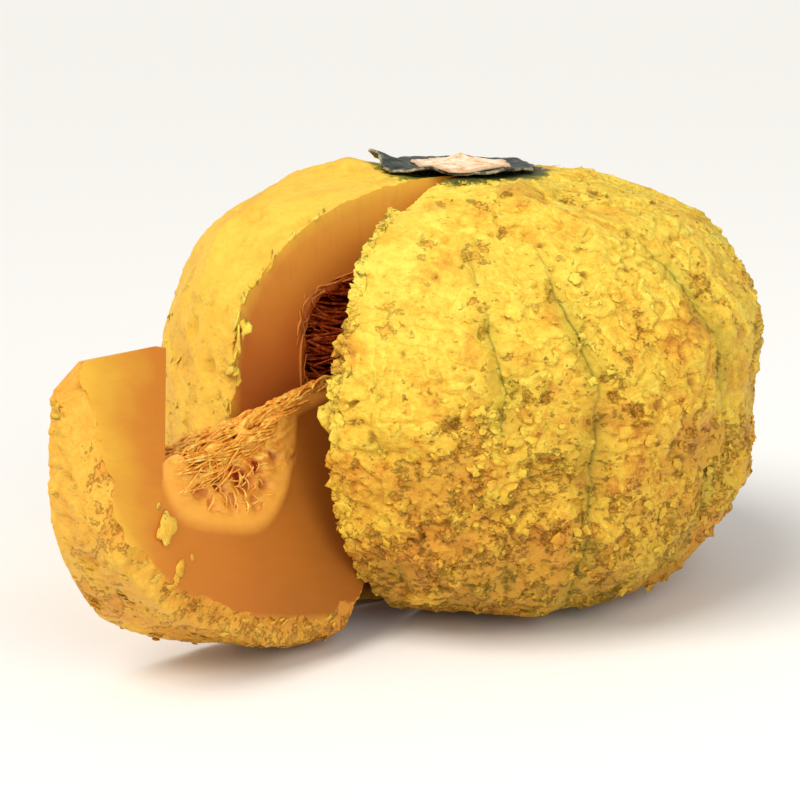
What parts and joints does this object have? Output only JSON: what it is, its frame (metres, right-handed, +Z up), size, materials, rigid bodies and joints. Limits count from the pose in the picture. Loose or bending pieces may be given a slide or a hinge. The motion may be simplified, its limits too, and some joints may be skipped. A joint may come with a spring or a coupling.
{
  "type": "kabocha squash",
  "caption": "Squat winter squash pared of its rind, with one wedge cut out and tipped in front of its notch, showing the stringy seed cavity.",
  "frame": {"origin": "middle of the flat resting base, on the squash's own axis", "axes": "+Z up along the squash's axis from base to stem scar; -Y out through the middle of the notch, towards the wedge; +X to the right of the notch"},
  "size_m": [0.1823, 0.249, 0.1315],
  "materials": {
    "pared_flesh": "moist yellow flesh, torn and crumbly where pared, smooth orange where cut",
    "cavity_pulp": "moist dark orange fibres",
    "rind": "waxy dark slate-green rind",
    "corky_scar": "dry beige cork",
    "wedge_flesh": "moist orange flesh, smooth where cut, torn yellow where pared",
    "wedge_pulp": "moist orange fibres"
  },
  "bodies": {
    "root": {"squash_flesh": "pared_flesh", "squash_pulp": "cavity_pulp", "rind_cap": "rind", "stem_scar": "corky_scar", "wedge_flesh": "wedge_flesh", "wedge_pulp": "wedge_pulp"}
  },
  "joints": []
}
